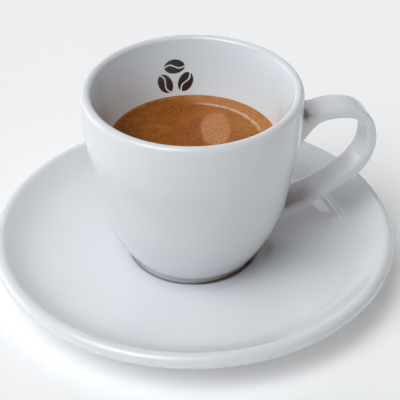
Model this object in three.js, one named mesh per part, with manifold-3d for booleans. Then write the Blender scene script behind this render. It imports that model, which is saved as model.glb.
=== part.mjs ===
// Espresso shot: a thick-walled porcelain cup on its saucer, filled with coffee under a layer of crema.
// Millimetres, +Z up. The origin is on the table under the saucer's centre, and the handle points along +X.
import * as THREE from 'three';
import { mergeVertices } from 'three/addons/utils/BufferGeometryUtils.js';
import Module from 'manifold-3d';

// Clearance kept between two pieces that touch.
const GAP = 0.3;

// Saucer: heights are above the table.
const SAUCER_RADIUS = 60;
const SAUCER_LIP_RADIUS = 2.2;
const SAUCER_LIP_HEIGHT = 11.5;
const SAUCER_WELL_RADIUS = 19.2;
const SAUCER_WELL_FLOOR = 6;
const SAUCER_WELL_EDGE = 7;
const SAUCER_CORNER = 0.6;
const SAUCER_DISH = [[33, 7.4], [44, 8.2], [50.2, 9.4], [53.8, 11.1]];
const SAUCER_UNDERSIDE = [[52, 6.5], [43, 4.5], [34.5, 3.5]];
const SAUCER_FLOOR_BOTTOM = 2.6;
const SAUCER_FOOT = { inner: 29.2, outer: 31.2, flare: 1.1 };
// The lip is round from its underside up and over to the dish, in degrees from straight out.
const SAUCER_LIP_FROM = -67.5;
const SAUCER_LIP_TO = 135;

// Cup: heights are above the bottom of its own foot ring.
const CUP_HEIGHT = 56;
const CUP_MOUTH_RADIUS = 31.65;
const CUP_LIP_RADIUS = 1.5;
const CUP_FOOT = { inner: 15.6, outer: 18.4, height: 2.7, corner: 0.45 };
const CUP_FOOT_HOLLOW = 2.2;
const CUP_BODY_OUTLINE = [[19.8, 2.9], [23.1, 8.4], [26.9, 17.7], [29.4, 30.7], [31.3, 43.7]];
const CUP_BORE_DEPTH = 47.8;
const CUP_BORE_PULL = { upperRadius: 23.25, upperHeight: 39.7, lowerRadius: 22.5 };

// Drink: its level and the layer of crema are measured from the bottom of the cup's foot ring too.
const DRINK_LEVEL = 38.3;
const CREMA_THICKNESS = 3;

// Handle: a strap whose middle line runs from inside the cup's wall, out, down and back. [reach, height]
const HANDLE_LINE = [
  [27.8, 38], [33.2, 40.4], [38.6, 41.9], [45.9, 41.7], [51.2, 39.2], [53.7, 34.2],
  [53.4, 28], [50.4, 22.5], [45.8, 18.9], [40.4, 15.9], [34.6, 13.4], [28.4, 11.4], [21.5, 9.6],
];
const STRAP_WIDTH = 9.6;
const STRAP_THICKNESS = 3.1;
const STRAP_ROUNDNESS = 2.8;
const ROOT_UPPER = { width: 12.4, thickness: 10, share: 0.15 };
const ROOT_LOWER = { width: 11.6, thickness: 5.4, share: 0.2 };

// How finely round things are divided.
const CUP_SIDES = 48;
const SAUCER_SIDES = 64;
const DRINK_SIDES = 40;
const LIP_STEPS = 6;
const SAUCER_LIP_STEPS = 9;
const BODY_STEPS = 11;
const BORE_STEPS = 14;
const DISH_STEPS = 9;
const UNDERSIDE_STEPS = 5;
const STRAP_STEPS = 34;
const STRAP_SIDES = 18;

const CUP_BASE = SAUCER_WELL_FLOOR + GAP;

const porcelain = { color: 0xe9ebee, roughness: 0.12, metalness: 0 };
const coffee = { color: 0x2a1408, roughness: 0.1, metalness: 0 };
const foam = { color: 0xa8683a, roughness: 0.55, metalness: 0 };

const point = (radius, height) => new THREE.Vector2(radius, height);

/** Points on an arc about (radius, height), from one angle to another in degrees, 0 pointing outwards. */
function arc(radius, height, size, from, to, steps) {
  return Array.from({ length: steps + 1 }, (_, i) => {
    const angle = THREE.MathUtils.degToRad(from + ((to - from) * i) / steps);
    return point(radius + size * Math.cos(angle), height + size * Math.sin(angle));
  });
}

/** A smooth line through a few [radius, height] pairs. */
function smooth(pairs, steps) {
  return new THREE.SplineCurve(pairs.map(([radius, height]) => point(radius, height))).getPoints(steps);
}

/** Turns a closed outline, or one that starts and ends on the axis, about +Z. It runs anticlockwise. */
function turn(outline, sides) {
  return new THREE.LatheGeometry(outline, sides).rotateX(Math.PI / 2);
}

/** The inside of the cup from below the lip to the middle of its floor: a cone that rounds into an egg's end. */
function boreLine() {
  const top = CUP_HEIGHT - CUP_LIP_RADIUS;
  const floor = CUP_HEIGHT - CUP_BORE_DEPTH;
  return new THREE.CubicBezierCurve(
    point(CUP_MOUTH_RADIUS - 2 * CUP_LIP_RADIUS, top),
    point(CUP_BORE_PULL.upperRadius, CUP_BORE_PULL.upperHeight),
    point(CUP_BORE_PULL.lowerRadius, floor),
    point(0, floor),
  );
}

/** The cup's half section: up its middle line, along the underside, the outer wall, the lip and the bore. */
function cupOutline() {
  const { inner, outer, height, corner } = CUP_FOOT;
  const lipCentre = CUP_MOUTH_RADIUS - CUP_LIP_RADIUS;
  const lipHeight = CUP_HEIGHT - CUP_LIP_RADIUS;
  const wall = smooth([...CUP_BODY_OUTLINE, [CUP_MOUTH_RADIUS, lipHeight]], BODY_STEPS);
  return [
    point(0, CUP_FOOT_HOLLOW),
    point(inner - 1.6, CUP_FOOT_HOLLOW - 0.3),
    point(inner - 0.3, CUP_FOOT_HOLLOW - 1.4),
    ...arc(inner + corner, corner, corner, 180, 270, 2),
    ...arc(outer - corner, corner, corner, -90, 0, 2),
    point(outer - 0.1, height - 0.5),
    point(outer + 0.4, height),
    ...wall,
    ...arc(lipCentre, lipHeight, CUP_LIP_RADIUS, 0, 180, LIP_STEPS).slice(1),
    ...boreLine().getPoints(BORE_STEPS).slice(1),
  ];
}

/** The saucer's half section: underside and foot ring, rim, dish, and the well that takes the cup's foot. */
function saucerOutline() {
  const lipCentre = SAUCER_RADIUS - SAUCER_LIP_RADIUS;
  const lip = arc(lipCentre, SAUCER_LIP_HEIGHT, SAUCER_LIP_RADIUS, SAUCER_LIP_FROM, SAUCER_LIP_TO, SAUCER_LIP_STEPS);
  const [lipStart, lipEnd] = [lip[0], lip[lip.length - 1]];
  const wellCorner = SAUCER_WELL_RADIUS + SAUCER_CORNER;
  const { inner, outer, flare } = SAUCER_FOOT;
  const underside = [...SAUCER_UNDERSIDE].reverse();
  const dish = [[wellCorner, SAUCER_WELL_EDGE], ...SAUCER_DISH, [lipEnd.x, lipEnd.y]].reverse();
  return [
    point(0, SAUCER_FLOOR_BOTTOM),
    point(inner - flare, SAUCER_FLOOR_BOTTOM),
    point(inner - flare / 3, SAUCER_FLOOR_BOTTOM / 3),
    point(inner, 0),
    point(outer, 0),
    point(outer + flare / 3, SAUCER_FLOOR_BOTTOM / 3),
    ...smooth([[outer + flare, SAUCER_FLOOR_BOTTOM], ...underside, [lipStart.x, lipStart.y]], UNDERSIDE_STEPS),
    ...lip.slice(1, -1),
    ...smooth(dish, DISH_STEPS),
    point(SAUCER_WELL_RADIUS + SAUCER_CORNER / 3, SAUCER_WELL_EDGE - SAUCER_CORNER / 3),
    point(SAUCER_WELL_RADIUS, SAUCER_WELL_FLOOR),
    point(0, SAUCER_WELL_FLOOR),
  ];
}

/** The bore's line moved in by the clearance, from the middle of the floor up to the lip. */
function drinkWall() {
  const line = boreLine();
  return Array.from({ length: BORE_STEPS * 2 + 1 }, (_, i) => {
    const share = 1 - i / (BORE_STEPS * 2);
    const place = line.getPoint(share);
    const along = line.getTangent(share);
    return point(Math.max(0, place.x + along.y * GAP), place.y - along.x * GAP);
  });
}

/** What fills the bore between two heights, as a half section. */
function drinkOutline(low, high) {
  const wall = drinkWall();
  const radiusAt = (height) => {
    const above = wall.findIndex((place) => place.y > height);
    const [a, b] = [wall[above - 1], wall[above]];
    return THREE.MathUtils.mapLinear(height, a.y, b.y, a.x, b.x);
  };
  const bottom = low > wall[0].y ? [point(0, low), point(radiusAt(low), low)] : [];
  const side = wall.filter((place) => place.y > low && place.y < high);
  const middle = side.filter((_, i) => low > wall[0].y || i % 2 === 0);
  return [...bottom, ...middle, point(radiusAt(high), high), point(0, high)];
}

/** 0 at the root of the handle, 1 where the strap has its even width. */
function rootBlend(share, length) {
  return THREE.MathUtils.smoothstep(share, 0, length);
}

/** The handle as a closed strap of rounded sections, wider and thicker where it grows out of the wall. */
function handleGeometry() {
  const line = new THREE.CatmullRomCurve3(HANDLE_LINE.map(([reach, height]) => new THREE.Vector3(reach, 0, height)));
  const positions = [];
  for (let i = 0; i <= STRAP_STEPS; i += 1) {
    const share = i / STRAP_STEPS;
    const centre = line.getPointAt(share);
    const along = line.getTangentAt(share);
    const outward = new THREE.Vector3(-along.z, 0, along.x);
    const upper = rootBlend(share, ROOT_UPPER.share);
    const lower = rootBlend(1 - share, ROOT_LOWER.share);
    const root = upper < 1 ? ROOT_UPPER : ROOT_LOWER;
    const blend = Math.min(upper, lower);
    const halfWidth = THREE.MathUtils.lerp(root.width, STRAP_WIDTH, blend) / 2;
    const halfThickness = THREE.MathUtils.lerp(root.thickness, STRAP_THICKNESS, blend) / 2;
    for (let j = 0; j < STRAP_SIDES; j += 1) {
      const angle = (2 * Math.PI * j) / STRAP_SIDES;
      const rounded = (value) => Math.sign(value) * Math.abs(value) ** (2 / STRAP_ROUNDNESS);
      const place = centre.clone().addScaledVector(outward, halfThickness * rounded(Math.cos(angle)));
      place.y += halfWidth * rounded(Math.sin(angle));
      positions.push(place.x, place.y, place.z);
    }
  }
  const start = line.getPointAt(0);
  const end = line.getPointAt(1);
  positions.push(start.x, start.y, start.z, end.x, end.y, end.z);
  const startIndex = positions.length / 3 - 2;
  const endIndex = startIndex + 1;
  const last = STRAP_STEPS * STRAP_SIDES;
  const faces = [];
  for (let j = 0; j < STRAP_SIDES; j += 1) {
    const next = (j + 1) % STRAP_SIDES;
    for (let i = 0; i < STRAP_STEPS; i += 1) {
      const [a, b] = [i * STRAP_SIDES + j, i * STRAP_SIDES + next];
      const [c, d] = [a + STRAP_SIDES, b + STRAP_SIDES];
      faces.push(a, c, b, b, c, d);
    }
    faces.push(startIndex, j, next, endIndex, last + next, last + j);
  }
  const geometry = new THREE.BufferGeometry();
  geometry.setAttribute('position', new THREE.Float32BufferAttribute(positions, 3));
  geometry.setIndex(faces);
  return geometry;
}

const wasm = await Module();
wasm.setup();

/** A closed geometry as a solid that can be joined to another. */
function toSolid(geometry) {
  const bare = geometry.clone();
  bare.deleteAttribute('normal');
  bare.deleteAttribute('uv');
  const merged = mergeVertices(bare, 1e-4);
  const index = merged.index.array;
  const triangles = [];
  for (let i = 0; i < index.length; i += 3) {
    const [a, b, c] = [index[i], index[i + 1], index[i + 2]];
    if (a !== b && b !== c && c !== a) triangles.push(a, b, c);
  }
  const vertProperties = new Float32Array(merged.attributes.position.array);
  return new wasm.Manifold(new wasm.Mesh({ numProp: 3, vertProperties, triVerts: new Uint32Array(triangles) }));
}

/** A solid's surface as a geometry. */
function toGeometry(solid) {
  const mesh = solid.getMesh();
  const geometry = new THREE.BufferGeometry();
  geometry.setAttribute('position', new THREE.BufferAttribute(new Float32Array(mesh.vertProperties), 3));
  geometry.setIndex(new THREE.BufferAttribute(new Uint32Array(mesh.triVerts), 1));
  geometry.computeVertexNormals();
  return geometry;
}

/** Adds one named piece at its height above the table. */
function place(group, name, geometry, finish, height) {
  const mesh = new THREE.Mesh(geometry, new THREE.MeshStandardMaterial(finish));
  mesh.name = name;
  mesh.position.z = height;
  group.add(mesh);
}

const cup = toSolid(turn(cupOutline(), CUP_SIDES)).add(toSolid(handleGeometry()));
const cremaBottom = DRINK_LEVEL - CREMA_THICKNESS;

const espressoShot = new THREE.Group();
place(espressoShot, 'saucer', turn(saucerOutline(), SAUCER_SIDES), porcelain, 0);
place(espressoShot, 'cup', toGeometry(cup), porcelain, CUP_BASE);
place(espressoShot, 'espresso', turn(drinkOutline(0, cremaBottom - GAP), DRINK_SIDES), coffee, CUP_BASE);
place(espressoShot, 'crema', turn(drinkOutline(cremaBottom, DRINK_LEVEL), DRINK_SIDES), foam, CUP_BASE);

export default espressoShot;
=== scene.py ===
"""An espresso shot: coffee under its crema, in a white porcelain cup that stands on its saucer.

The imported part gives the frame. Each piece here stands for one of its nodes, on the same sizes, with a
finer surface. Sizes are in millimetres and become metres where a mesh is made.
"""

import logging
import math
import random
from collections.abc import Callable
from dataclasses import dataclass, field
from enum import Enum
from functools import cached_property

import bmesh
import bpy
import numpy as np
from mathutils import Matrix, Vector, noise


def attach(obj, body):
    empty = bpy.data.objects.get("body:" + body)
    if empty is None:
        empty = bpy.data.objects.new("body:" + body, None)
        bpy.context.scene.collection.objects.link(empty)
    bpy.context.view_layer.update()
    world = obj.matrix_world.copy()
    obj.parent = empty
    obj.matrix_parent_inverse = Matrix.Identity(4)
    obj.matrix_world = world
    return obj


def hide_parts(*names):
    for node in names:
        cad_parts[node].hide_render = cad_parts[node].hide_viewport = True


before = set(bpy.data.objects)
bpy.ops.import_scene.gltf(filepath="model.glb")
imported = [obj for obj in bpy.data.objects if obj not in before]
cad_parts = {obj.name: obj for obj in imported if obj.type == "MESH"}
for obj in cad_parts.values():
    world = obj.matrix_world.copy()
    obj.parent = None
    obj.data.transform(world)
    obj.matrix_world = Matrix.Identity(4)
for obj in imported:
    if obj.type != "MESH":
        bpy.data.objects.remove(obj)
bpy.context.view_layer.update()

MM = 0.001
BODY = "root"
FULL_TURN = 2 * math.pi
MERGE_DISTANCE = 0.0005 * MM
# In mm: faces lower than this above the ground that a foot stood on in the kiln are bare.
BARE_HEIGHT = 0.12

Piece = bpy.types.Object
Material = bpy.types.Material
Tree = bpy.types.NodeTree
Node = bpy.types.Node
Socket = bpy.types.NodeSocket
Profile = list[tuple[float, float]]
Triple = tuple[float, float, float]
Colour = tuple[float, float, float, float]


class Finish(Enum):
    """A porcelain piece's finishes, numbered as its material slots are."""

    GLAZE = 0
    BISCUIT = 1
    BORE = 2


def linear(code: str) -> Colour:
    """Turns an sRGB hex colour into the linear values that a shader takes.

    Args:
        code: The colour as "#RRGGBB".

    Returns:
        Red, green, blue and an alpha of 1.
    """
    parts = [int(code[i : i + 2], 16) / 255 for i in (1, 3, 5)]
    red, green, blue = (c / 12.92 if c <= 0.04045 else ((c + 0.055) / 1.055) ** 2.4 for c in parts)
    return (red, green, blue, 1.0)


def per_metre(size: float) -> float:
    """Gives a texture's scale for a pattern that repeats about every so many millimetres."""
    return 1 / (size * MM)


def add_node(
    tree: Tree, kind: str, values: dict | None = None, links: dict | None = None, **settings: object
) -> Node:
    """Adds one node with its settings, constants and links.

    Args:
        tree: The node tree to add to.
        kind: The node's type name.
        values: Constants, by input name or number.
        links: Output sockets to join, by input name or number.
        **settings: The node's own properties.

    Returns:
        The new node.
    """
    node = tree.nodes.new(kind)
    for key, value in settings.items():
        setattr(node, key, value)
    for key, value in (values or {}).items():
        node.inputs[key].default_value = value
    for key, socket in (links or {}).items():
        tree.links.new(socket, node.inputs[key])
    return node


def new_material(name: str, values: dict) -> tuple[Material, Tree, Node]:
    """Makes a node material with one Principled shader on its output.

    Args:
        name: The material's name.
        values: What is the same all over the surface, by the shader's input names.

    Returns:
        The material, its tree and the shader.
    """
    material = bpy.data.materials.new(name)
    material.use_nodes = True
    tree = material.node_tree
    tree.nodes.clear()
    shader = add_node(tree, "ShaderNodeBsdfPrincipled", values)
    add_node(tree, "ShaderNodeOutputMaterial", links={"Surface": shader.outputs[0]})
    return material, tree, shader


def set_ramp(node: Node, stops: list[tuple[float, Colour]]) -> None:
    """Sets a Color Ramp's stops.

    Args:
        node: The Color Ramp.
        stops: Each stop's position and colour, in order.
    """
    elements = node.color_ramp.elements
    while len(elements) < len(stops):
        elements.new(0.5)
    for element, (position, colour) in zip(elements, stops):
        element.position = position
        element.color = colour


def layered(tree: Tree, ground: Socket, layers: list[tuple[Socket, str]]) -> Socket:
    """Lays colours one over another, each where its mask says.

    Args:
        tree: The material's tree.
        ground: The colour under them all.
        layers: Each layer's mask and its hex colour, from the lowest up.

    Returns:
        The colour that shows.
    """
    colour = ground
    for mask, code in layers:
        mix = add_node(
            tree, "ShaderNodeMix", {"B": linear(code)}, {"Factor": mask, "A": colour}, data_type="RGBA"
        )
        colour = mix.outputs["Result"]
    return colour


@dataclass(frozen=True)
class Spot:
    """A place where a surface has another colour: an ellipsoid with an uneven, soft edge.

    The turn is in degrees about the upright. The edge is the share of the reach at which half of the
    strength is left, the softness how far it fades to each side of that, and the raggedness how far a
    pattern moves it.
    """

    colour: str
    centre: Triple
    reach: Triple
    turn: float = 0.0
    softness: float = 0.35
    raggedness: float = 0.8
    strength: float = 0.8
    edge: float = 0.75

    def mask(self, tree: Tree, place: Socket, pattern: Socket) -> Socket:
        """Gives how much of the spot's colour lies at a point.

        Args:
            tree: The material's tree.
            place: The object coordinates.
            pattern: The pattern that makes the edge uneven.

        Returns:
            The mask, from 0 to the spot's strength.
        """
        local = add_node(
            tree,
            "ShaderNodeMapping",
            {
                "Location": tuple(v * MM for v in self.centre),
                "Rotation": (0, 0, math.radians(self.turn)),
                "Scale": tuple(v * MM for v in self.reach),
            },
            {"Vector": place},
            vector_type="TEXTURE",
        )
        far = add_node(tree, "ShaderNodeVectorMath", links={0: local.outputs[0]}, operation="LENGTH")
        uneven = add_node(
            tree,
            "ShaderNodeMath",
            {1: self.raggedness},
            {0: pattern, 2: far.outputs["Value"]},
            operation="MULTIPLY_ADD",
        )
        middle = self.edge + self.raggedness / 2
        mask = add_node(
            tree,
            "ShaderNodeMapRange",
            {"From Min": middle + self.softness, "From Max": middle - self.softness, "To Max": self.strength},
            {"Value": uneven.outputs[0]},
            interpolation_type="SMOOTHSTEP",
        )
        return mask.outputs[0]


@dataclass(frozen=True)
class FoamPatch(Spot):
    """A place where the foam is paler or darker, with an edge as uneven as the foam's clouds."""

    raggedness: float = 0.5
    edge: float = 1.0


@dataclass(frozen=True)
class GlazedPorcelain:
    """Hard porcelain, dipped in clear glaze and fired: a dense white body under a glassy coat.

    The coat gives sharp reflections over a soft white, and the glaze, which ran a little while it was
    molten, bends them very slightly. The coat is dull under its spots, dried coffee and painted shade among
    them.
    """

    name: str
    stains_and_shade: tuple[Spot, ...]
    body: str = "#ECEDF0"
    pooled: str = "#E4E7EB"
    # In mm: glaze pools and ripples over centimetres, and a spot's ragged edge breaks up over a millimetre.
    pooling_size: float = 26.0
    ripple_size: float = 9.0
    ripple_depth: float = 0.03
    edge_noise_size: float = 1.3
    spotted_gloss: float = 0.2
    roughness: float = 0.38
    coat_roughness: float = 0.035

    def material(self) -> Material:
        """Builds the glaze over the white body.

        Returns:
            The material.
        """
        material, tree, shader = new_material(
            self.name,
            {
                "Roughness": self.roughness,
                "Specular IOR Level": 0.25,
                "Subsurface Weight": 0.12,
                "Subsurface Radius": (1.0, 0.95, 0.9),
                "Subsurface Scale": 0.8 * MM,
                "Coat Weight": 1.0,
                "Coat Roughness": self.coat_roughness,
                "Coat IOR": 1.5,
            },
        )
        place = add_node(tree, "ShaderNodeTexCoord").outputs["Object"]
        pooling = add_node(
            tree,
            "ShaderNodeTexNoise",
            {"Scale": per_metre(self.pooling_size), "Detail": 1.0},
            {"Vector": place},
        )
        clean = add_node(
            tree,
            "ShaderNodeMix",
            {"A": linear(self.body), "B": linear(self.pooled)},
            {"Factor": pooling.outputs["Fac"]},
            data_type="RGBA",
        )
        ripple = add_node(
            tree,
            "ShaderNodeTexNoise",
            {"Scale": per_metre(self.ripple_size), "Detail": 0.0},
            {"Vector": place},
        )
        bump = add_node(
            tree,
            "ShaderNodeBump",
            {"Strength": 1.0, "Distance": self.ripple_depth * MM},
            {"Height": ripple.outputs["Fac"]},
        )
        stained_and_shaded = self.stained_and_shaded(tree, shader, place, clean.outputs["Result"])
        tree.links.new(stained_and_shaded, shader.inputs["Base Color"])
        tree.links.new(bump.outputs["Normal"], shader.inputs["Normal"])
        tree.links.new(bump.outputs["Normal"], shader.inputs["Coat Normal"])
        return material

    def stained_and_shaded(self, tree: Tree, shader: Node, place: Socket, clean: Socket) -> Socket:
        """Lays spots on the glaze, dried coffee and painted shade among them, and dulls the coat there.

        Args:
            tree: The material's tree.
            shader: The material's shader.
            place: The object coordinates.
            clean: The colour under the spots.

        Returns:
            The colour with the spots on it.
        """
        edge_noise = add_node(
            tree,
            "ShaderNodeTexNoise",
            {"Scale": per_metre(self.edge_noise_size), "Detail": 5.0, "Roughness": 0.65},
            {"Vector": place},
        )
        masks = [mark.mask(tree, place, edge_noise.outputs["Fac"]) for mark in self.stains_and_shade]
        spots_mask = masks[0]
        for mask in masks[1:]:
            spots_mask = add_node(
                tree, "ShaderNodeMath", links={0: spots_mask, 1: mask}, operation="MAXIMUM"
            ).outputs[0]
        gloss = add_node(
            tree,
            "ShaderNodeMapRange",
            {"From Max": 0.5, "To Min": 1.0, "To Max": self.spotted_gloss},
            {"Value": spots_mask},
        )
        tree.links.new(gloss.outputs[0], shader.inputs["Coat Weight"])
        return layered(tree, clean, [(mask, mark.colour) for mask, mark in zip(masks, self.stains_and_shade)])


@dataclass(frozen=True)
class Biscuit:
    """Bare fired porcelain, wiped clean of glaze where it stood in the kiln: dry, chalky, a little warm."""

    name: str = "unglazed porcelain biscuit"
    body: str = "#E6E1D8"
    shade: str = "#D8D2C6"
    # In mm: real grit is under 0.1 mm, and this is drawn coarser so that it shows.
    grit_size: float = 0.5
    grit_depth: float = 0.05

    def material(self) -> Material:
        """Builds the dry, finely gritty biscuit.

        Returns:
            The material.
        """
        material, tree, shader = new_material(self.name, {"Roughness": 0.85})
        place = add_node(tree, "ShaderNodeTexCoord").outputs["Object"]
        grit = add_node(
            tree,
            "ShaderNodeTexNoise",
            {"Scale": per_metre(self.grit_size), "Detail": 3.0},
            {"Vector": place},
        )
        colour = add_node(tree, "ShaderNodeValToRGB", links={"Fac": grit.outputs["Fac"]})
        set_ramp(colour, [(0.3, linear(self.shade)), (0.6, linear(self.body))])
        bump = add_node(
            tree,
            "ShaderNodeBump",
            {"Strength": 0.5, "Distance": self.grit_depth * MM},
            {"Height": grit.outputs["Fac"]},
        )
        tree.links.new(colour.outputs["Color"], shader.inputs["Base Color"])
        tree.links.new(bump.outputs["Normal"], shader.inputs["Normal"])
        return material


@dataclass(frozen=True)
class TwoTone:
    """A smooth glossy surface in two close tones that drift into each other."""

    name: str
    dark: str
    pale: str
    drift_size: float
    detail: float
    shine: dict[str, float]

    def material(self) -> Material:
        """Builds the two tones under their shine.

        Returns:
            The material.
        """
        material, tree, shader = new_material(self.name, self.shine)
        place = add_node(tree, "ShaderNodeTexCoord").outputs["Object"]
        drift = add_node(
            tree,
            "ShaderNodeTexNoise",
            {"Scale": per_metre(self.drift_size), "Detail": self.detail},
            {"Vector": place},
        )
        colour = add_node(tree, "ShaderNodeValToRGB", links={"Fac": drift.outputs["Fac"]})
        set_ramp(colour, [(0.35, linear(self.dark)), (0.7, linear(self.pale))])
        tree.links.new(colour.outputs["Color"], shader.inputs["Base Color"])
        return material


@dataclass(frozen=True)
class CeramicDecal(TwoTone):
    """A decal of dark ceramic colour fired under the glaze: flat, even, as glossy as the wall round it."""

    name: str = "fired brown decal"
    dark: str = "#22100A"
    pale: str = "#2E1610"
    # In mm: the grain of the printed colour.
    drift_size: float = 0.35
    detail: float = 2.0
    shine: dict[str, float] = field(
        default_factory=lambda: {"Roughness": 0.3, "Coat Weight": 1.0, "Coat Roughness": 0.05}
    )


@dataclass(frozen=True)
class BlackCoffee(TwoTone):
    """Brewed coffee: water with oils and fines, nearly black in depth, brown where thin, very glossy."""

    name: str = "black coffee"
    dark: str = "#2A1206"
    pale: str = "#4A220C"
    # In mm: the drifts of oils and fines.
    drift_size: float = 4.0
    detail: float = 3.0
    shine: dict[str, float] = field(default_factory=lambda: {"Roughness": 0.12, "IOR": 1.34})


@dataclass(frozen=True)
class Crema:
    """Coffee foam: bubbles too small to see in brown oily liquid, so it looks like suede with a wet sheen.

    Fine dark flecks of coffee lie in it. Its patches are painted light and shade: painted shade on the left,
    painted light on the right, darker towards the back, and a round pale patch that is a painted reflection
    of a lamp. On one side a pale band along the wall is a painted reflection of the lit wall, with a thin
    pale line of painted light on its inner side, and a paler rim runs round the edge. The distances from the
    middle of that band are shares of its radius.
    """

    name: str = "crema foam"
    deep: str = "#8A4611"
    middle: str = "#A05513"
    pale: str = "#B2691F"
    fleck: str = "#572A0A"
    grain: str = "#C98A4C"
    # The thin pale line on the band's inner side: painted light that the wall throws on the foam.
    painted_caustic: str = "#DDB795"
    level: float = 44.6
    # In mm: real bubbles are 0.1 to 0.3 mm across, and the grains and bubbles are drawn coarser so that
    # they show. Clouds and flecks have their real size.
    cloud_size: float = 7.0
    fleck_size: float = 0.75
    grain_size: float = 0.6
    bubble_size: float = 0.6
    bubble_depth: float = 0.05
    # The band along the wall on one side is a painted reflection of the lit wall.
    painted_reflection_colour: str = "#C98A5C"
    band_radius: float = 20.4
    band_turn: float = 34.0
    rim_colour: str = "#BF7A3C"
    rim_start: float = 1.17
    # A reach of a metre upwards makes each patch a column that goes through the crema.
    painted_light_and_shade: tuple[FoamPatch, ...] = (
        # Painted shade on the left side.
        FoamPatch("#6C3A0C", (-24.0, 8.0, level), (16.0, 20.0, 1000.0), softness=0.9, strength=0.55),
        # Painted light on the right side.
        FoamPatch("#AE7038", (22.0, 8.0, level), (17.0, 24.0, 1000.0), softness=0.8, strength=0.7),
        # Darker towards the back.
        FoamPatch("#7C460E", (-4.0, 22.0, level), (16.0, 8.0, 1000.0), softness=0.8, strength=0.45),
        # A round pale patch: painted reflection of a lamp in the wet foam.
        FoamPatch("#C6895A", (8.1, 4.2, level), (4.2, 9.2, 1000.0), -15.6, softness=0.16, strength=0.85),
    )

    def material(self) -> Material:
        """Builds the mottled foam with its fine bubbles.

        Returns:
            The material.
        """
        material, tree, shader = new_material(
            self.name,
            {
                "Roughness": 0.5,
                "Specular IOR Level": 0.1,
                "Coat Weight": 0.15,
                "Coat Roughness": 0.1,
                "Coat IOR": 1.34,
            },
        )
        place = add_node(tree, "ShaderNodeTexCoord").outputs["Object"]
        drift = add_node(
            tree, "ShaderNodeMapping", {"Rotation": (0, 0, 0.5), "Scale": (1, 1.5, 1)}, {"Vector": place}
        )
        cloud = add_node(
            tree,
            "ShaderNodeTexNoise",
            {"Scale": per_metre(self.cloud_size), "Detail": 6.0, "Roughness": 0.62, "Distortion": 0.5},
            {"Vector": drift.outputs[0]},
        ).outputs["Fac"]
        ground = add_node(tree, "ShaderNodeValToRGB", links={"Fac": cloud})
        set_ramp(
            ground, [(0.34, linear(self.deep)), (0.5, linear(self.middle)), (0.68, linear(self.pale))]
        )
        layers = [(patch.mask(tree, place, cloud), patch.colour) for patch in self.painted_light_and_shade]
        layers += self.rim_and_painted_light(tree, place, cloud) + self.speckled(tree, place)
        bubbles = add_node(
            tree, "ShaderNodeTexVoronoi", {"Scale": per_metre(self.bubble_size)}, {"Vector": place}
        )
        bump = add_node(
            tree,
            "ShaderNodeBump",
            {"Strength": 0.3, "Distance": self.bubble_depth * MM},
            {"Height": bubbles.outputs["Distance"]},
        )
        tree.links.new(layered(tree, ground.outputs["Color"], layers), shader.inputs["Base Color"])
        tree.links.new(bump.outputs["Normal"], shader.inputs["Normal"])
        return material

    def rim_and_painted_light(self, tree: Tree, place: Socket, cloud: Socket) -> list[tuple[Socket, str]]:
        """Makes the layers along the wall: the band of painted reflection, the rim, and the thin line of
        painted light.

        Args:
            tree: The material's tree.
            place: The object coordinates.
            cloud: The foam's clouds, which make the edges wobble.

        Returns:
            Each layer's mask and colour.
        """
        local = add_node(
            tree,
            "ShaderNodeMapping",
            {
                "Location": (0, 0, self.level * MM),
                "Rotation": (0, 0, math.radians(self.band_turn)),
                "Scale": (self.band_radius * MM, self.band_radius * MM, 1),
            },
            {"Vector": place},
            vector_type="TEXTURE",
        ).outputs[0]
        far = add_node(tree, "ShaderNodeVectorMath", links={0: local}, operation="LENGTH").outputs["Value"]
        side = add_node(tree, "ShaderNodeSeparateXYZ", links={"Vector": local}).outputs["X"]
        wobble = add_node(
            tree, "ShaderNodeMath", {1: 0.06}, {0: cloud, 2: far}, operation="MULTIPLY_ADD"
        ).outputs[0]
        off = add_node(tree, "ShaderNodeMath", {1: 1.03}, {0: wobble}, operation="SUBTRACT").outputs[0]
        away = add_node(tree, "ShaderNodeMath", links={0: off}, operation="ABSOLUTE").outputs[0]
        # band is a painted reflection of the lit wall and line a thin streak of painted light, both on one
        # side only.
        sector, band, rim, line = (
            add_node(
                tree,
                "ShaderNodeMapRange",
                {"From Min": start, "From Max": end, "To Max": most},
                {"Value": value},
                interpolation_type="SMOOTHSTEP",
            ).outputs[0]
            for value, start, end, most in (
                (side, 0.72, 0.93, 1.0),
                (wobble, 1.01, 1.05, 0.5),
                (wobble, self.rim_start, self.rim_start + 0.05, 0.5),
                (away, 0.042, 0.008, 0.8),
            )
        )
        band, line = (
            add_node(tree, "ShaderNodeMath", links={0: mask, 1: sector}, operation="MULTIPLY").outputs[0]
            for mask in (band, line)
        )
        return [(band, self.painted_reflection_colour), (rim, self.rim_colour), (line, self.painted_caustic)]

    def speckled(self, tree: Tree, place: Socket) -> list[tuple[Socket, str]]:
        """Makes the layers of dark coffee flecks and pale grains of foam.

        Args:
            tree: The material's tree.
            place: The object coordinates.

        Returns:
            Each layer's mask and colour.
        """
        flecks = add_node(
            tree,
            "ShaderNodeTexNoise",
            {"Scale": per_metre(self.fleck_size), "Detail": 2.0},
            {"Vector": place},
        )
        grains = add_node(
            tree,
            "ShaderNodeTexNoise",
            {"Scale": per_metre(self.grain_size), "Detail": 1.0, "W": 3.0},
            {"Vector": place},
            noise_dimensions="4D",
        )
        layers = []
        for pattern, start, end, most, colour in (
            (flecks, 0.46, 0.74, 0.45, self.fleck),
            (grains, 0.56, 0.76, 0.55, self.grain),
        ):
            mask = add_node(
                tree,
                "ShaderNodeMapRange",
                {"From Min": start, "From Max": end, "To Max": most},
                {"Value": pattern.outputs["Fac"]},
            )
            layers.append((mask.outputs[0], colour))
        return layers


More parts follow.
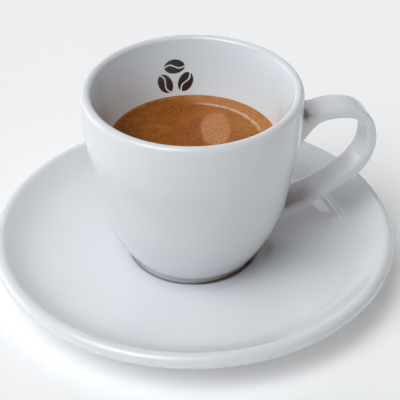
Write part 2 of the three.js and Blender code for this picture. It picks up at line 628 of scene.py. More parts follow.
def arc(radius: float, height: float, size: float, start: float, end: float, steps: int) -> Profile:
    """Gives points on an arc.

    Args:
        radius: The centre's distance from the axis.
        height: The centre's height.
        size: The arc's own radius.
        start: First angle in degrees, 0 pointing away from the axis.
        end: Last angle in degrees.
        steps: The number of spaces between points.

    Returns:
        The points, from start to end.
    """
    angles = [math.radians(start + (end - start) * i / steps) for i in range(steps + 1)]
    return [(radius + size * math.cos(a), height + size * math.sin(a)) for a in angles]


def spline(points: Profile, steps: int) -> Profile:
    """Draws the smoothest curve through a few points: a natural cubic spline along their chord lengths.

    Args:
        points: The points that it passes through.
        steps: The number of spaces between the points given back, which are evenly spread.

    Returns:
        The points on the curve.
    """
    knots = np.array(points, float)
    spans = np.linalg.norm(np.diff(knots, axis=0), axis=1)
    at = np.concatenate([[0], np.cumsum(spans)])
    count = len(knots)
    matrix = np.eye(count)
    target = np.zeros((count, knots.shape[1]))
    slopes = np.diff(knots, axis=0) / spans[:, None]
    for i in range(1, count - 1):
        matrix[i, i - 1 : i + 2] = spans[i - 1], 2 * (spans[i - 1] + spans[i]), spans[i]
        target[i] = 6 * (slopes[i] - slopes[i - 1])
    bend = np.linalg.solve(matrix, target)
    found = []
    for t in np.linspace(0, at[-1], steps + 1):
        i = min(int(np.searchsorted(at, t, side="right")) - 1, count - 2)
        h, a, b = spans[i], at[i + 1] - t, t - at[i]
        place = (bend[i] * a**3 + bend[i + 1] * b**3) / (6 * h)
        place += (knots[i] / h - bend[i] * h / 6) * a + (knots[i + 1] / h - bend[i + 1] * h / 6) * b
        found.append(tuple(place))
    return found


def bezier(points: Profile, steps: int) -> Profile:
    """Gives points on a cubic Bezier curve.

    Args:
        points: Its two ends with its two pull points between them.
        steps: The number of spaces between points.

    Returns:
        The points, from the first end to the last.
    """
    first, pull, push, last = (np.array(p, float) for p in points)
    found = []
    for t in np.linspace(0, 1, steps + 1):
        s = 1 - t
        found.append(tuple(first * s**3 + pull * 3 * s * s * t + push * 3 * s * t * t + last * t**3))
    return found


def deselect() -> None:
    """Leaves object mode's selection empty, because an operator acts on all that is selected."""
    bpy.ops.object.select_all(action="DESELECT")


def select(*pieces: Piece) -> None:
    """Selects some pieces alone, with the first one active.

    Args:
        *pieces: The pieces.
    """
    deselect()
    for piece in pieces:
        piece.select_set(True)
    bpy.context.view_layer.objects.active = pieces[0]


def in_edit_mode(piece: Piece) -> None:
    """Opens one piece alone in edit mode with all of it selected.

    Args:
        piece: The piece.
    """
    select(piece)
    bpy.ops.object.mode_set(mode="EDIT")
    bpy.ops.mesh.select_all(action="SELECT")


def settle(piece: Piece) -> None:
    """Leaves a piece at the origin, unturned and unscaled, with its place in its mesh."""
    select(piece)
    bpy.ops.object.transform_apply(location=True, rotation=True, scale=True)


def spin_section(name: str, section: Profile, sides: int) -> Piece:
    """Draws a half section vertex by vertex and spins it round the upright axis.

    Args:
        name: The new piece's name.
        section: The half section, which starts and ends on the axis.
        sides: The number of steps in the full turn.

    Returns:
        The closed round piece.
    """
    deselect()
    radius, height = section[0]
    bpy.ops.mesh.primitive_plane_add(size=MM, location=(radius * MM, 0, height * MM))
    piece = bpy.context.object
    piece.name = name
    in_edit_mode(piece)
    bpy.ops.mesh.merge(type="CENTER")
    for here, there in zip(section, section[1:]):
        step = ((there[0] - here[0]) * MM, 0, (there[1] - here[1]) * MM)
        bpy.ops.mesh.extrude_region_move(TRANSFORM_OT_translate={"value": step})
    bpy.ops.mesh.select_all(action="SELECT")
    bpy.ops.mesh.spin(steps=sides, angle=FULL_TURN, center=(0, 0, 0), axis=(0, 0, 1))
    bpy.ops.mesh.select_all(action="SELECT")
    bpy.ops.mesh.remove_doubles(threshold=MERGE_DISTANCE)
    bpy.ops.mesh.normals_make_consistent(inside=False)
    bpy.ops.object.mode_set(mode="OBJECT")
    settle(piece)
    bpy.ops.object.shade_smooth()
    return piece


def move_vertices(piece: Piece, rule: Callable[[Vector], Vector]) -> None:
    """Moves every vertex of a mesh.

    Args:
        piece: The mesh's piece.
        rule: Gives a vertex's new place from its old one.
    """
    for vertex in piece.data.vertices:
        vertex.co = rule(vertex.co.copy())
    piece.data.update()


def tube(name: str, sides: int, rows: int, rule: Callable[[Vector], Vector]) -> Piece:
    """Extrudes a filled circle upwards in rows a millimetre high, and then moves it all into shape.

    Args:
        name: The new piece's name.
        sides: The number of vertices round it.
        rows: The number of rows.
        rule: Gives a vertex's place on the finished piece from its place on the straight one.

    Returns:
        The closed piece.
    """
    deselect()
    bpy.ops.mesh.primitive_circle_add(vertices=sides, radius=MM, fill_type="NGON")
    piece = bpy.context.object
    piece.name = name
    in_edit_mode(piece)
    for _ in range(rows):
        bpy.ops.mesh.extrude_region_move(TRANSFORM_OT_translate={"value": (0, 0, MM)})
    bpy.ops.object.mode_set(mode="OBJECT")
    move_vertices(piece, rule)
    in_edit_mode(piece)
    bpy.ops.mesh.normals_make_consistent(inside=False)
    bpy.ops.object.mode_set(mode="OBJECT")
    return piece


def dress(piece: Piece, *materials: Material) -> None:
    """Gives a piece its materials, the first one for every face.

    Args:
        piece: The piece.
        *materials: The materials, in the order of the slots.
    """
    piece.data.materials.clear()
    for material in materials:
        piece.data.materials.append(material)


def mount(obj: Piece, slot: str, *nodes: str) -> None:
    """Fixes a finished piece to the part's one body and reports it.

    Args:
        obj: The piece.
        slot: The record's material slot that it stands for, which is only written to the log.
        *nodes: The nodes of the part that it stands for.
    """
    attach(obj, BODY)
    if nodes:
        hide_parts(*nodes)
    logging.info("%s: %d faces, slot %s, for %s", obj.name, len(obj.data.polygons), slot, nodes or "looks")


def smoothstep(value: float) -> float:
    """Rises smoothly from 0 to 1 as the value does, and stays there beyond."""
    value = min(max(value, 0), 1)
    return value * value * (3 - 2 * value)


def rounded(value: float, power: float) -> float:
    """Bends a sine or cosine so that a circle becomes a strap's flat, round-edged section."""
    return math.copysign(abs(value) ** (2 / power), value)


@dataclass
class Saucer:
    """A round coupe saucer: foot ring, shallow dish, rounded lip, and a well that takes the cup's foot.

    An ease is how far in and how far down a corner's softening reaches.
    """

    radius: float = 60.0
    lip_radius: float = 2.2
    lip_height: float = 11.5
    lip_from: float = -67.5
    lip_to: float = 123.0
    well_radius: float = 19.2
    well_floor: float = 6.0
    well_edge: float = 7.0
    well_ease: tuple[float, float] = (0.3, 0.25)
    corner: float = 0.6
    dish: Profile = field(default_factory=lambda: [(33, 7.4), (44, 8.25), (50.0, 9.6), (53.6, 11.35)])
    underside: Profile = field(default_factory=lambda: [(34.5, 3.5), (43, 4.5), (52, 6.5)])
    floor_bottom: float = 2.6
    floor_ease: tuple[float, float] = (0.6, 0.25)
    foot_inner: float = 29.2
    foot_outer: float = 31.2
    foot_flare: float = 1.1
    foot_round: float = 0.35
    sides: int = 192
    stains_and_shade: tuple[Spot, ...] = (
        Spot("#7A6A5C", (-45.0, -21.1, 8.4), (0.55, 0.4, 0.5), softness=0.3, raggedness=0.4, strength=0.7),
        Spot(
            "#A9733F", (20.6, -9.0, 7.1), (5.5, 2.0, 1.5), 62.0, softness=0.6, raggedness=1.0, strength=0.35
        ),
    )

    def section(self) -> Profile:
        """Gives the half section, from the underside's middle round the rim to the well's middle.

        Returns:
            The points.
        """
        lip_centre = self.radius - self.lip_radius
        lip = arc(lip_centre, self.lip_height, self.lip_radius, self.lip_from, self.lip_to, 28)
        edge = (self.well_radius + self.corner, self.well_edge)
        dish = spline([lip[-1], *reversed(self.dish), edge], 44)
        round_ = self.foot_round
        foot_top = self.foot_inner - self.foot_flare
        return [
            (0, self.floor_bottom),
            (foot_top - self.floor_ease[0], self.floor_bottom),
            (foot_top, self.floor_bottom - self.floor_ease[1]),
            (self.foot_inner - self.foot_flare / 3, self.floor_bottom / 3),
            *arc(self.foot_inner + round_, round_, round_, 200, 270, 5),
            *arc(self.foot_outer - round_, round_, round_, -90, -20, 5),
            (self.foot_outer + self.foot_flare / 3, self.floor_bottom / 3),
            *spline([(self.foot_outer + self.foot_flare, self.floor_bottom), *self.underside, lip[0]], 26),
            *lip[1:-1],
            *dish,
            *arc(self.well_radius + self.corner, self.well_edge - self.corner, self.corner, 90, 180, 6)[1:],
            (self.well_radius, self.well_floor + self.well_ease[1]),
            (self.well_radius - self.well_ease[0], self.well_floor),
            (0, self.well_floor),
        ]

    def build(self) -> Piece:
        """Spins the saucer and wipes the glaze off the face that it stood on in the kiln.

        Returns:
            The saucer.
        """
        piece = spin_section("saucer_porcelain", self.section(), self.sides)
        glaze = GlazedPorcelain(
            "glazed porcelain saucer", self.stains_and_shade, body="#EFF0F3", ripple_size=5.0, ripple_depth=0.09
        )
        dress(piece, glaze.material(), Biscuit().material())
        for face in piece.data.polygons:
            if face.center.z < BARE_HEIGHT * MM:
                face.material_index = Finish.BISCUIT.value
        mount(piece, "saucer_porcelain", "saucer")
        return piece


@dataclass
class Cup:
    """The cup: a thick wall, egg-shaped inside, on a foot ring, with a strap handle that grows out of it.

    Heights are above the cup's own foot, except where a method says above the table. The neck is drawn by
    offsets from the foot's outer radius, and the hollow by offsets from its inner radius. A root gives the
    strap's width and thickness where it leaves the wall, and the share of its length over which it evens
    out. The bore's margin is how far outwards and downwards from its curve a face still belongs to it.
    """

    base: float = 6.3
    height: float = 56.0
    mouth_radius: float = 31.65
    lip_radius: float = 1.5
    foot_inner: float = 15.6
    foot_outer: float = 18.4
    foot_corner: float = 0.45
    foot_hollow: float = 2.2
    hollow: Profile = field(default_factory=lambda: [(-3, 2.1), (-1.2, 1.7)])
    neck: Profile = field(default_factory=lambda: [(-0.08, 1.5), (-0.02, 2.15), (0.22, 2.52), (0.75, 2.68)])
    body: Profile = field(
        default_factory=lambda: [(19.8, 2.9), (23.1, 8.4), (26.9, 17.7), (29.4, 30.7), (31.3, 43.7)]
    )
    bore_depth: float = 47.8
    bore_lean: float = 20.0
    bore_pull: float = 15.6
    bore_lower: float = 22.5
    handle_line: Profile = field(
        default_factory=lambda: [
            (27.8, 38), (33.2, 40.6), (38.6, 42.2), (45.9, 42.0), (51.2, 39.4), (53.6, 34.2),
            (53.4, 28), (50.4, 22.5), (45.8, 18.9), (40.4, 15.9), (34.6, 13.4), (28.4, 11.4), (21.5, 9.6),
        ]
    )
    strap_width: float = 9.6
    strap_thickness: float = 3.3
    strap_roundness: float = 5.5
    strap_sides: int = 40
    strap_rows: int = 84
    upper_root: Triple = (12.4, 10.0, 0.15)
    lower_root: Triple = (11.6, 5.4, 0.2)
    upper_fillet: float = 2.0
    lower_fillet: float = 2.4
    fillet_rows: int = 6
    fillet_sink: float = 0.06
    root_depth: float = 1.6
    root_taper: float = 0.25
    crease_angle: float = 40.0
    bore_margin: tuple[float, float] = (0.3, 0.1)
    sides: int = 176
    stains_and_shade: tuple[Spot, ...] = (
        Spot("#8E6038", (14.6, -11.4, 6.9), (6.5, 3.4, 2.0), 42.0, strength=0.7),
        Spot("#7A5A3E", (7.5, -17.4, 6.6), (9.0, 3.0, 1.3), 22.0, strength=0.3),
        # Upper root: dried coffee mixed with painted shade in the corner where the strap meets the wall.
        Spot("#7A4A26", (32.8, -2.6, 50.2), (2.0, 3.6, 5.0), softness=0.4, raggedness=1.4, strength=0.68),
        # Lower root: dried coffee mixed with painted shade in the corner where the strap meets the wall.
        Spot("#8A5830", (29.3, -3.0, 21.8), (6.6, 6.0, 4.4), softness=0.7, raggedness=0.9, strength=0.66),
    )
    bore_painted_shade: tuple[Spot, ...] = (
        # Painted shade, tinted warm, on the inner left wall below the lip.
        Spot("#7D6656", (-25.5, 6.5, 51.5), (5.0, 13.0, 8.5), softness=0.6, raggedness=1.2, strength=0.3),
    )

    def bore(self, steps: int = 60) -> Profile:
        """Gives the inside wall from below the lip to the middle of the floor.

        Args:
            steps: The number of spaces between points.

        Returns:
            The points.
        """
        lean = math.radians(self.bore_lean)
        radius = self.mouth_radius - self.lip_radius * (1 + math.cos(lean))
        top = self.height - self.lip_radius * (1 - math.sin(lean))
        floor = self.height - self.bore_depth
        pull = (radius - self.bore_pull * math.sin(lean), top - self.bore_pull * math.cos(lean))
        return bezier([(radius, top), pull, (self.bore_lower, floor), (0, floor)], steps)

    def wall(self, steps: int = 60) -> Profile:
        """Gives the outer wall from above the foot to below the lip."""
        return spline([*self.body, (self.mouth_radius, self.height - self.lip_radius)], steps)

    @cached_property
    def bore_table(self) -> tuple[np.ndarray, np.ndarray]:
        """Heights above the table and radii along the inside wall, from the floor up."""
        line = np.array(self.bore(200)[::-1])
        return line[:, 1] + self.base, line[:, 0]

    @cached_property
    def wall_table(self) -> tuple[np.ndarray, np.ndarray]:
        """Heights above the table and radii along the outer wall, from the foot up."""
        line = np.array(self.wall(200))
        return line[:, 1] + self.base, line[:, 0]

    def bore_radius(self, height: float) -> float:
        """Gives the inside radius at a height above the table."""
        return float(np.interp(height, *self.bore_table))

    def wall_radius(self, height: float) -> float:
        """Gives the outside radius at a height above the table."""
        return float(np.interp(height, *self.wall_table))

    def section(self) -> Profile:
        """Gives the half section, from the underside's middle round the foot, wall and lip to the bore.

        Returns:
            The points, with their heights above the table.
        """
        lip_centre = self.mouth_radius - self.lip_radius
        lip_height = self.height - self.lip_radius
        corner = self.foot_corner
        hollow = [(self.foot_inner + offset, height) for offset, height in self.hollow]
        outline = [
            (0, self.foot_hollow),
            *spline([*hollow, (self.foot_inner, corner)], 10),
            *arc(self.foot_inner + corner, corner, corner, 180, 270, 5)[1:],
            *arc(self.foot_outer - corner, corner, corner, -90, 0, 5),
            *((self.foot_outer + offset, height) for offset, height in self.neck),
            *self.wall(),
            *arc(lip_centre, lip_height, self.lip_radius, 0, 180 - self.bore_lean, 22)[1:],
            *self.bore()[1:],
        ]
        return [(radius, height + self.base) for radius, height in outline]

    def strap_path(self) -> Callable[[float, float], Vector]:
        """Lays out the strap's surface along the handle's line.

        Returns:
            A function from a share of the handle's length and an angle round it to a place in mm.
        """
        steps = 400
        line = np.array(spline(self.handle_line, steps))
        along = np.gradient(line, axis=0)
        along /= np.linalg.norm(along, axis=1)[:, None]

        def place(share: float, angle: float) -> Vector:
            """Gives a place on the strap's surface.

            Args:
                share: The share of the handle's length.
                angle: The angle round the strap.

            Returns:
                The place, in mm.
            """
            at = min(max(share, 0), 1) * steps
            i = min(int(at), steps - 1)
            centre = line[i] * (1 - at + i) + line[i + 1] * (at - i)
            forward = along[i] * (1 - at + i) + along[i + 1] * (at - i)
            upper = smoothstep(share / self.upper_root[2])
            lower = smoothstep((1 - share) / self.lower_root[2])
            root = self.upper_root if upper < 1 else self.lower_root
            even = min(upper, lower)
            width = root[0] + (self.strap_width - root[0]) * even
            thickness = root[1] + (self.strap_thickness - root[1]) * even
            out = thickness / 2 * rounded(math.cos(angle), self.strap_roundness)
            side = width / 2 * rounded(math.sin(angle), self.strap_roundness)
            return Vector((centre[0] - forward[1] * out, side, centre[1] + forward[0] * out + self.base))

        return place

    def root_rings(
        self,
        place: Callable[[float, float], Vector],
        angles: list[float],
        start: float,
        end: float,
        fillet: float,
    ) -> tuple[list[float], list[list[Vector]]]:
        """Finds where the strap meets the wall and rounds the corner between them.

        Args:
            place: The strap's surface.
            angles: The angles round the strap, one for each vertex of a ring.
            start: A share of the handle's length well outside the wall.
            end: The share at which the strap ends inside the wall.
            fillet: How far the rounding reaches along the strap and along the wall.

        Returns:
            For each angle the share where the rounding starts, and the rings from there into the wall.
        """
        tolerance, probe = 1e-5, 0.005

        def above(point: Vector) -> float:
            """Gives how far a point stands out of the wall."""
            return math.hypot(point.x, point.y) - self.wall_radius(point.z)

        hits, shares = [], []
        for angle in angles:
            near, far = start, end
            while abs(far - near) > tolerance:
                middle = (near + far) / 2
                near, far = (middle, far) if above(place(middle, angle)) > 0 else (near, middle)
            hits.append(place(near, angle))
            speed = (place(near + probe, angle) - place(near - probe, angle)).length / (2 * probe)
            shares.append(near + math.copysign(fillet / speed, start - end))
        centre = sum(hits, Vector()) / len(hits)
        rings = [[] for _ in range(self.fillet_rows + 1)]
        for angle, hit, share in zip(angles, hits, shares):
            normal = Vector((hit.x, hit.y, 0)).normalized()
            spread = hit - centre
            spread = (spread - normal * spread.dot(normal)).normalized()
            foot = hit + spread * fillet
            sunk = self.wall_radius(foot.z) - self.fillet_sink
            foot_flat = Vector((foot.x, foot.y, 0)).normalized() * sunk
            foot = Vector((foot_flat.x, foot_flat.y, foot.z))
            first = place(share, angle)
            for k, ring in enumerate(rings[:-1]):
                t = (k + 1) / self.fillet_rows
                ring.append(first * (1 - t) ** 2 + hit * 2 * t * (1 - t) + foot * t * t)
            inward = Vector((foot.x, foot.y, 0)).normalized() * self.root_depth
            rings[-1].append(foot - inward + (centre - foot) * self.root_taper)
        return shares, rings

    def handle(self) -> Piece:
        """Builds the strap as rings of vertices, from inside the wall above to inside the wall below.

        Returns:
            The closed strap.
        """
        angles = [FULL_TURN * i / self.strap_sides for i in range(self.strap_sides)]
        place = self.strap_path()
        above_middle, below_middle = 0.45, 0.55
        upper_shares, upper = self.root_rings(place, angles, above_middle, 0.0, self.upper_fillet)
        lower_shares, lower = self.root_rings(place, angles, below_middle, 1.0, self.lower_fillet)
        middle = []
        for row in range(self.strap_rows + 1):
            share = row / self.strap_rows
            pairs = zip(angles, upper_shares, lower_shares)
            middle.append([place(a + (b - a) * share, angle) for angle, a, b in pairs])
        rings = [*reversed(upper), *middle, *lower]

        def on_strap(co: Vector) -> Vector:
            """Finds a vertex of the straight tube in the rings, by its height and its angle."""
            turn = math.atan2(co.x, co.y) % FULL_TURN
            column = round(turn / FULL_TURN * self.strap_sides) % self.strap_sides
            return rings[round(co.z / MM)][column] * MM

        return tube("strap", self.strap_sides, len(rings) - 1, on_strap)

    def finish_at(self, place: Vector) -> Finish:
        """Gives the finish at a place.

        Args:
            place: The place, in mm above the table.

        Returns:
            The glaze, the bare contact face, or the bore's copy of the glaze, brighter and bluer as painted
            light.
        """
        if place.z < self.base + BARE_HEIGHT:
            return Finish.BISCUIT
        radius = math.hypot(place.x, place.y)
        top = self.base + self.height - self.lip_radius * (1 - math.sin(math.radians(self.bore_lean)))
        outwards, downwards = self.bore_margin
        inner = self.base + self.height - self.bore_depth - downwards < place.z < top
        in_bore = inner and radius < self.bore_radius(place.z) + outwards
        return Finish.BORE if in_bore else Finish.GLAZE

    def build(self) -> Piece:
        """Spins the cup, joins the handle to it and dresses it.

        Returns:
            The cup.
        """
        piece = spin_section("cup_porcelain", self.section(), self.sides)
        strap = self.handle()
        select(piece)
        join = piece.modifiers.new("handle", "BOOLEAN")
        join.operation = "UNION"
        join.solver = "EXACT"
        join.object = strap
        bpy.ops.object.modifier_apply(modifier=join.name)
        bpy.data.objects.remove(strap)
        in_edit_mode(piece)
        bpy.ops.mesh.dissolve_degenerate(threshold=MERGE_DISTANCE)
        bpy.ops.object.mode_set(mode="OBJECT")
        bpy.ops.object.shade_smooth_by_angle(angle=math.radians(self.crease_angle))
        # The bore gets a brighter, bluer copy of the glaze: painted light against the coffee's warm cast.
        brightened_bore_glaze = GlazedPorcelain("glazed porcelain bore", self.bore_painted_shade, body="#F0F9FF", pooled="#EAF4FC")
        dress(
            piece,
            GlazedPorcelain("glazed porcelain cup", self.stains_and_shade).material(),
            Biscuit("unglazed porcelain foot").material(),
            brightened_bore_glaze.material(),
        )
        for face in piece.data.polygons:
            face.material_index = self.finish_at(face.center / MM).value
        mount(piece, "cup_porcelain", "cup")
        return piece


@dataclass
class Drink:
    """The espresso and the crema on it, which fill the cup's bore and reach just into its wall.

    The waves in the crema's top are given by their lengths and their heights as shares of the swell. A
    bubble's radius is the smallest one plus up to the extra. Most bubbles lie near the wall, and the strays
    keep their margins from it and from the middle.
    """

    cup: Cup
    level: float = 38.3
    crema_thickness: float = 3.0
    bite: float = 0.12
    floor_gap: float = 0.4
    espresso_sides: int = 96
    crema_sides: int = 288
    crema_rings: int = 84
    ring_crowding: float = 1.15
    swell: float = 0.07
    waves: Profile = field(default_factory=lambda: [(6.0, 1.0), (2.2, 0.5), (0.9, 0.35)])
    meniscus: float = 0.45
    meniscus_reach: float = 1.5
    meniscus_power: float = 2.2
    meniscus_drop: float = 0.35
    bubbles: int = 260
    bubble_smallest: float = 0.12
    bubble_extra: float = 0.24
    bubble_gap: float = 0.25
    bubble_scatter: float = 0.9
    bubble_sink: float = 0.35
    bubble_squash: float = 0.8
    stray_share: float = 0.25
    stray_margins: tuple[float, float] = (1.5, 2.0)
    seed: int = 7

    def wall(self, low: float, high: float, steps: int) -> Profile:
        """Gives the bore's side, grown by the bite into the wall.

        Args:
            low: The lower height above the cup's foot.
            high: The upper one.
            steps: The number of spaces between points.

        Returns:
            The points from low to high, with their heights above the table.
        """
        heights = [low + (high - low) * i / steps for i in range(steps + 1)]
        return [
            (self.cup.bore_radius(h + self.cup.base) + self.bite, h + self.cup.base) for h in heights
        ]

    def espresso(self) -> Piece:
        """Builds the liquid under the crema.

        Returns:
            The liquid.
        """
        floor = self.cup.height - self.cup.bore_depth
        top = self.level - self.crema_thickness
        side = self.wall(floor + self.floor_gap, top, 40)
        middle = (0, floor + self.cup.base - self.bite)
        piece = spin_section("espresso_liquid", [middle, *side, (0, side[-1][1])], self.espresso_sides)
        dress(piece, BlackCoffee().material())
        mount(piece, "espresso", "espresso")
        return piece

    def top_height(self, place: Vector) -> float:
        """Gives the crema's relief: a slow swell, and the rim where the foam climbs the wall.

        Args:
            place: A place on the level top, in mm.

        Returns:
            How far the foam stands above the level, in mm.
        """
        inset = self.cup.bore_radius(self.level + self.cup.base) - math.hypot(place.x, place.y)
        climb = max(0.0, 1 - inset / self.meniscus_reach)
        waves = sum(height * noise.noise(place / length) for length, height in self.waves)
        calm = min(1.0, max(0.0, inset))
        return self.meniscus * (climb**self.meniscus_power - self.meniscus_drop) + self.swell * waves * calm

    def crema(self) -> Piece:
        """Builds the foam: a round layer whose top has a gentle relief and clings to the wall.

        Returns:
            The foam.
        """
        low = self.level - self.crema_thickness
        side = self.wall(low, self.level, 8)
        edge, top = side[-1]
        shares = [i / self.crema_rings for i in range(1, self.crema_rings)]
        inwards = [(edge * (1 - share**self.ring_crowding), top) for share in shares]
        piece = spin_section("crema_foam", [(0, side[0][1]), *side, *inwards, (0, top)], self.crema_sides)
        limit = (top - 0.01) * MM

        def relief(co: Vector) -> Vector:
            """Lifts a vertex of the top by the relief and leaves the others as they are."""
            if co.z > limit:
                co.z += self.top_height(Vector((co.x, co.y, 0)) / MM) * MM
            return co

        move_vertices(piece, relief)
        dress(piece, Crema().material())
        mount(piece, "crema", "crema")
        return piece

    def froth(self) -> Piece:
        """Scatters small bubbles along the wall and a few over the foam.

        Returns:
            The bubbles, as one piece.
        """
        draw = random.Random(self.seed)
        top = self.level + self.cup.base
        edge = self.cup.bore_radius(top)
        deselect()
        bpy.ops.mesh.primitive_ico_sphere_add(subdivisions=2, radius=MM)
        piece = bpy.context.object
        shape = piece.data
        build = bmesh.new()
        for _ in range(self.bubbles):
            size = self.bubble_smallest + self.bubble_extra * draw.random() ** 3
            inset = self.bubble_gap + size + abs(draw.gauss(0, self.bubble_scatter))
            if draw.random() < self.stray_share:
                inset = draw.uniform(self.stray_margins[0], edge - self.stray_margins[1])
            angle = draw.uniform(0, FULL_TURN)
            spot = Vector(((edge - inset) * math.cos(angle), (edge - inset) * math.sin(angle), 0))
            spot.z = top + self.top_height(Vector((spot.x, spot.y, 0))) - size * self.bubble_sink
            flat = Matrix.Diagonal((size, size, size * self.bubble_squash, 1))
            copy = shape.copy()
            copy.transform(Matrix.Translation(spot * MM) @ flat)
            build.from_mesh(copy)
            bpy.data.meshes.remove(copy)
        build.to_mesh(shape)
        build.free()
        piece.name = shape.name = "crema_bubbles"
        bpy.ops.object.shade_smooth()
        dress(piece, Crema("crema bubbles").material())
        mount(piece, "crema")
        return piece


@dataclass
class BeanPrint:
    """A small print of three coffee beans, fired on the inside of the back wall.

    The reach is how much of a quarter turn a half bean's rows cover, so that its tips stay open a little.
    """

    cup: Cup
    angle: float = 86.5
    height: float = 51.0
    half_width: float = 2.1
    half_length: float = 3.1
    slit: float = 0.48
    curl: float = 0.55
    reach: float = 0.985
    tip_width: float = 0.9
    thickness: float = 0.05
    proud: float = 0.01
    seam: float = 0.002
    crease_angle: float = 30.0
    beans: Profile = field(default_factory=lambda: [(-3.1, -1.9), (3.1, -1.9), (0.0, 2.95)])
    tilts: Triple = (28.0, -28.0, 90.0)

    def half_bean(self, side: int) -> Piece:
        """Builds one half of a flat bean lying in XY: a grid pulled out to the bean's edge and its slit.

        Args:
            side: -1 for the left half, 1 for the right one.

        Returns:
            The half, in millimetres on metre axes.
        """
        deselect()
        bpy.ops.mesh.primitive_grid_add(x_subdivisions=7, y_subdivisions=26, size=2)
        half = bpy.context.object

        def pull(co: Vector) -> Vector:
            """Pulls a point of the grid to its place between the slit and the bean's edge.

            Args:
                co: The point, from -1 to 1 each way.

            Returns:
                The place on the half bean, in mm.
            """
            along = math.sin(co.y * math.pi / 2 * self.reach)
            outer = self.half_width * math.sqrt(max(0.0, 1 - along * along)) * side
            crease = self.curl * math.sin(along * math.pi) + self.slit / 2 * side
            inner = crease if abs(crease) < abs(outer) or crease * side < 0 else outer * self.tip_width
            share = (co.x + 1) / 2
            return Vector((inner + (outer - inner) * share, along * self.half_length, 0))

        move_vertices(half, pull)
        return half

    def on_wall(self, co: Vector) -> Vector:
        """Bends a point of the flat print on to the bore, just proud of the glaze.

        Args:
            co: The point, in mm.

        Returns:
            Its place, in metres.
        """
        height = self.height + co.y
        radius = self.cup.bore_radius(height) - self.proud
        turn = math.radians(self.angle) - co.x / radius
        return Vector((radius * math.cos(turn), radius * math.sin(turn), height)) * MM

    def face_the_axis(self, piece: Piece) -> None:
        """Turns each face of the print so that it looks in at the cup's axis.

        Args:
            piece: The print, before it has a thickness.
        """
        mesh = bmesh.new()
        mesh.from_mesh(piece.data)
        bmesh.ops.remove_doubles(mesh, verts=mesh.verts, dist=self.seam * MM)
        mesh.normal_update()
        for face in mesh.faces:
            middle = face.calc_center_median()
            if face.normal.x * middle.x + face.normal.y * middle.y > 0:
                face.normal_flip()
        mesh.to_mesh(piece.data)
        mesh.free()

    def build(self) -> Piece:
        """Builds the beans, bends them on to the wall and gives the print its thickness.

        Returns:
            The print.
        """
        halves = []
        for (x, y), tilt in zip(self.beans, self.tilts):
            spot = Matrix.Translation((x, y, 0)) @ Matrix.Rotation(math.radians(tilt), 4, "Z")
            for side in (-1, 1):
                half = self.half_bean(side)
                half.data.transform(spot)
                move_vertices(half, self.on_wall)
                halves.append(half)
        select(*halves)
        bpy.ops.object.join()
        piece = bpy.context.object
        piece.name = "bean_print"
        self.face_the_axis(piece)
        layer = piece.modifiers.new("layer", "SOLIDIFY")
        layer.thickness = self.thickness * MM
        layer.offset = 1.0
        bpy.ops.object.modifier_apply(modifier=layer.name)
        bpy.ops.object.shade_smooth_by_angle(angle=math.radians(self.crease_angle))
        dress(piece, CeramicDecal().material())
        mount(piece, "cup_porcelain")
        return piece


@dataclass
class Residue:
    """Coffee that ran down the cup and dried in the corner between its foot and the saucer's well.

    The tip is the share of a half wave that is cut off each end of the taper, the fullness the power that
    it is raised to, and the lumps are how many noise cells the thread runs through.
    """

    radius: float = 18.72
    height: float = 6.95
    thickness: float = 0.26
    flatness: float = 0.9
    tip: float = 0.02
    fullness: float = 0.6
    unevenness: float = 0.3
    lumps: float = 9.0
    noise_row: float = 3.1
    start: float = -104.0
    end: float = -22.0
    sides: int = 12
    rows: int = 60

    def along(self, co: Vector) -> Vector:
        """Bends the straight thread along its arc and tapers it unevenly.

        Args:
            co: A place on the straight thread, in metres.

        Returns:
            The place on the arc, in metres.
        """
        share = co.z / MM / self.rows
        swell = math.sin(math.pi * (self.tip + (1 - 2 * self.tip) * share)) ** self.fullness
        lump = noise.noise(Vector((share * self.lumps, self.noise_row, 0)))
        size = self.thickness * swell * (1 - self.unevenness / 2 + self.unevenness * lump)
        turn = math.radians(self.start + (self.end - self.start) * share)
        radius = self.radius + co.x / MM * size
        height = self.height + co.y / MM * size * self.flatness
        return Vector((radius * math.cos(turn), radius * math.sin(turn), height)) * MM

    def build(self) -> Piece:
        """Builds the dried line as a tapered thread on an arc.

        Returns:
            The thread.
        """
        piece = tube("coffee_residue", self.sides, self.rows, self.along)
        bpy.ops.object.shade_smooth()
        dress(piece, BlackCoffee("dried coffee", dark="#7E5230", pale="#A07348").material())
        mount(piece, "espresso")
        return piece


@dataclass(frozen=True)
class SoftLight:
    """A large soft light far away.

    Its azimuth is in degrees round the cup from the camera's right, anticlockwise seen from above, and its
    height in degrees above the table. The sharpness is the power of the cosine by which it fades.
    """

    azimuth: float
    height: float
    sharpness: float
    colour: Triple


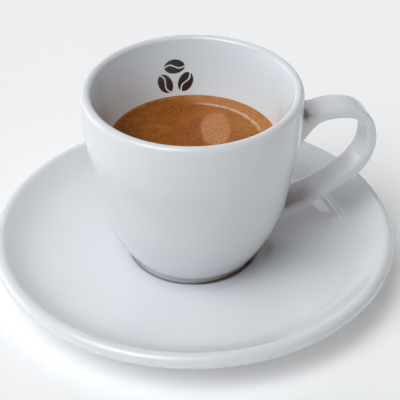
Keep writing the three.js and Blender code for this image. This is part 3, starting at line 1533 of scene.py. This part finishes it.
@dataclass
class Studio:
    """A pale floor, soft lights and the camera at the photograph's angle.

    The soft lights' strengths are matched to how bright the white glaze is on each side. The panes are dim
    lamps that stand for a window, each given by its azimuth as a soft light's is. Their size and distance
    are in metres and their power in watts.
    """

    azimuth: float = -15.4
    elevation: float = 35.68
    roll: float = -0.339
    distance: float = 445.16
    aim_right: float = 1.953
    aim_height: float = 23.435
    lens: float = 135.0
    sensor: float = 36.0
    nearest: float = 0.01
    floor_size: float = 6.0
    floor_glow: float = 0.12
    panes: Triple = (93.0, 98.5, 104.0)
    pane_height: float = 45.0
    pane_size: tuple[float, float] = (0.055, 0.24)
    pane_power: float = 0.065
    pane_distance: float = 1.5
    lights: tuple[SoftLight, ...] = (
        SoftLight(220, 48, 20, (4.113, 4.221, 4.327)),
        SoftLight(220, 68, 20, (3.886, 3.948, 4.009)),
        SoftLight(245, 48, 20, (0.601, 0.627, 0.655)),
        SoftLight(160, 8, 20, (3.441, 3.407, 3.379)),
        SoftLight(120, 8, 20, (0.657, 0.61, 0.619)),
        SoftLight(90, 15, 8, (0.646, 0.667, 0.687)),
        SoftLight(80, 35, 14, (0.145, 0.114, 0.094)),
        SoftLight(40, 8, 20, (0.651, 0.768, 0.727)),
        SoftLight(0, 35, 14, (0.317, 0.286, 0.252)),
    )

    def towards(self, azimuth: float, height: float) -> Vector:
        """Gives the direction of a light.

        Args:
            azimuth: Degrees from the camera's right.
            height: Degrees above the table.

        Returns:
            The direction, one long.
        """
        turn, lift = math.radians(azimuth + self.azimuth), math.radians(height)
        return Vector((math.cos(turn) * math.cos(lift), math.sin(turn) * math.cos(lift), math.sin(lift)))

    def camera(self) -> None:
        """Puts the camera where the photograph was taken from, by the angles fitted to its ellipses."""
        turn = Matrix.Rotation(math.radians(self.azimuth), 3, "Z")
        tilt = math.radians(self.elevation)
        lean = math.radians(self.roll)
        back = turn @ Vector((0, -math.cos(tilt), math.sin(tilt)))
        level = turn @ Vector((1, 0, 0))
        rise = turn @ Vector((0, math.sin(tilt), math.cos(tilt)))
        right = level * math.cos(lean) + rise * math.sin(lean)
        up = rise * math.cos(lean) - level * math.sin(lean)
        aim = turn @ Vector((self.aim_right, 0, self.aim_height))
        data = bpy.data.cameras.new("camera")
        data.lens = self.lens
        data.sensor_width = self.sensor
        data.clip_start = self.nearest
        camera = bpy.data.objects.new("camera", data)
        axes = Matrix((right, up, back)).transposed().to_4x4()
        camera.matrix_world = Matrix.Translation((aim + back * self.distance) * MM) @ axes
        bpy.context.scene.collection.objects.link(camera)
        bpy.context.scene.camera = camera

    def floor(self) -> None:
        """Lays a large pale floor under the saucer."""
        deselect()
        bpy.ops.mesh.primitive_plane_add(size=self.floor_size)
        floor = bpy.context.object
        floor.name = "floor"
        white = (1.0, 1.0, 1.0, 1.0)
        paint = {"Roughness": 0.9, "Emission Color": white, "Emission Strength": self.floor_glow}
        dress(floor, new_material("pale floor", {"Base Color": linear("#F4F4F4"), **paint})[0])

    def sky(self) -> None:
        """Surrounds the scene with the soft lights, each brightest in one direction and fading round it."""
        world = bpy.data.worlds.new("studio")
        world.use_nodes = True
        tree = world.node_tree
        tree.nodes.clear()
        outwards = add_node(tree, "ShaderNodeTexCoord").outputs["Generated"]
        total = None
        for light in self.lights:
            middle = self.towards(light.azimuth, light.height)
            facing = add_node(
                tree, "ShaderNodeVectorMath", {1: middle}, {0: outwards}, operation="DOT_PRODUCT"
            ).outputs["Value"]
            front = add_node(tree, "ShaderNodeMath", {1: 0.0}, {0: facing}, operation="MAXIMUM").outputs[0]
            fading = add_node(
                tree, "ShaderNodeMath", {1: light.sharpness}, {0: front}, operation="POWER"
            ).outputs[0]
            glow = add_node(
                tree, "ShaderNodeVectorMath", {0: light.colour}, {"Scale": fading}, operation="SCALE"
            ).outputs[0]
            if total:
                glow = add_node(
                    tree, "ShaderNodeVectorMath", links={0: total, 1: glow}, operation="ADD"
                ).outputs[0]
            total = glow
        shade = add_node(tree, "ShaderNodeBackground", links={"Color": total})
        add_node(tree, "ShaderNodeOutputWorld", links={"Surface": shade.outputs[0]})
        bpy.context.scene.world = world

    def window(self) -> None:
        """Hangs narrow dim softboxes that the glaze mirrors as a window's panes."""
        for azimuth in self.panes:
            towards = self.towards(azimuth, self.pane_height)
            data = bpy.data.lights.new("window pane", "AREA")
            data.shape = "RECTANGLE"
            data.size, data.size_y = self.pane_size
            data.energy = self.pane_power
            lamp = bpy.data.objects.new("window pane", data)
            lamp.location = towards * self.pane_distance
            lamp.rotation_euler = towards.to_track_quat("Z", "Y").to_euler()
            bpy.context.scene.collection.objects.link(lamp)

    def build(self) -> None:
        """Sets up the whole studio."""
        self.camera()
        self.floor()
        self.sky()
        self.window()
        bpy.context.scene.view_settings.view_transform = "Standard"


def main() -> None:
    """Builds the espresso shot piece by piece, and the studio round it."""
    logging.basicConfig(level=logging.INFO, format="%(relativeCreated)6.0f ms  %(message)s")
    Studio().build()
    Saucer().build()
    cup = Cup()
    cup.build()
    drink = Drink(cup)
    drink.espresso()
    drink.crema()
    drink.froth()
    BeanPrint(cup).build()
    Residue().build()


if __name__ == "__main__":
    main()
